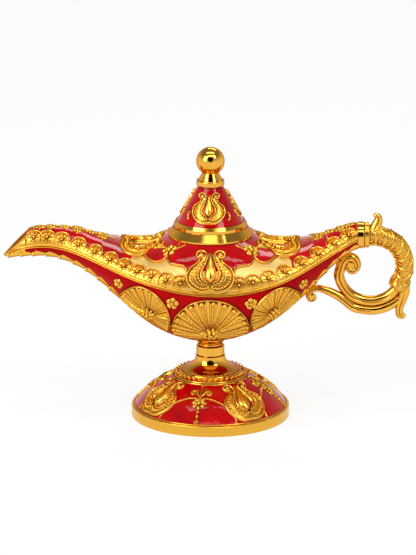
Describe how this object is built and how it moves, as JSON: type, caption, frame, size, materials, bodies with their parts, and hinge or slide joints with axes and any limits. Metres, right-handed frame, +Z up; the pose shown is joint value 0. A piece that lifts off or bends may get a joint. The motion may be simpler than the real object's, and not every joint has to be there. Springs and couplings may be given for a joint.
{
  "type": "genie oil lamp",
  "caption": "Boat-shaped gilt oil lamp with red enamel, a slanting spout, a scrolled ring handle, a turned stem on a domed foot and a pointed lid that lifts off the filler neck.",
  "frame": {"origin": "middle of the underside of the foot, on the table", "axes": "+Z up, the spout points along -X and the handle along +X, +Y across the bowl"},
  "size_m": [0.2153, 0.0834, 0.1447],
  "materials": {
    "polished_gilt": "polished gold plate on cast metal",
    "frosted_gilt": "frosted gold plate on cast metal",
    "red_enamel": "glossy red enamel on cast metal",
    "steel": "zinc-plated",
    "seal_rubber": "matte",
    "felt": "pressed felt"
  },
  "bodies": {
    "lamp": {"felt_pad": "felt", "base_plate": "steel", "base_rim": "polished_gilt", "base_dome": "red_enamel", "beaded_ring": "polished_gilt", "stem_trumpet": "polished_gilt", "stem_ring": "polished_gilt", "bowl_cup": "polished_gilt", "tie_rod": "steel", "rod_seal": "seal_rubber", "rod_top_nut": "steel", "rod_washer": "steel", "rod_bottom_nut": "steel", "hull_shell": "frosted_gilt", "deck_shell": "frosted_gilt", "seam_bead": "polished_gilt", "mouth_ring": "polished_gilt", "front_palmette": "polished_gilt", "back_palmette": "polished_gilt", "spout_palmette": "polished_gilt", "tail_palmette": "polished_gilt", "near_spout_niches": "polished_gilt", "near_tail_niches": "polished_gilt", "far_spout_niches": "polished_gilt", "far_tail_niches": "polished_gilt", "filler_neck": "polished_gilt", "tail_ferrule": "polished_gilt", "tail_nut": "steel", "handle_stud": "steel", "handle_collar": "polished_gilt", "handle_grip": "polished_gilt", "handle_loop": "polished_gilt", "handle_strap": "polished_gilt", "handle_bracket": "polished_gilt"},
    "lid_plug": {"lid_sleeve": "polished_gilt"},
    "lid_top": {"lid_skirt": "polished_gilt", "lid_band": "polished_gilt", "lid_cone": "red_enamel", "lid_screw": "steel", "lid_washer": "steel", "finial_collar": "polished_gilt", "finial_ball": "polished_gilt"}
  },
  "joints": [
    {"name": "lid_lift", "type": "slide", "parent": "lamp", "child": "lid_plug", "axis": [0, 0, 1], "range_m": [0, 0.045]},
    {"name": "lid_turn", "type": "hinge", "parent": "lid_plug", "child": "lid_top", "pos_m": [0, 0, 0.1], "axis": [0, 0, 1], "continuous": true}
  ]
}
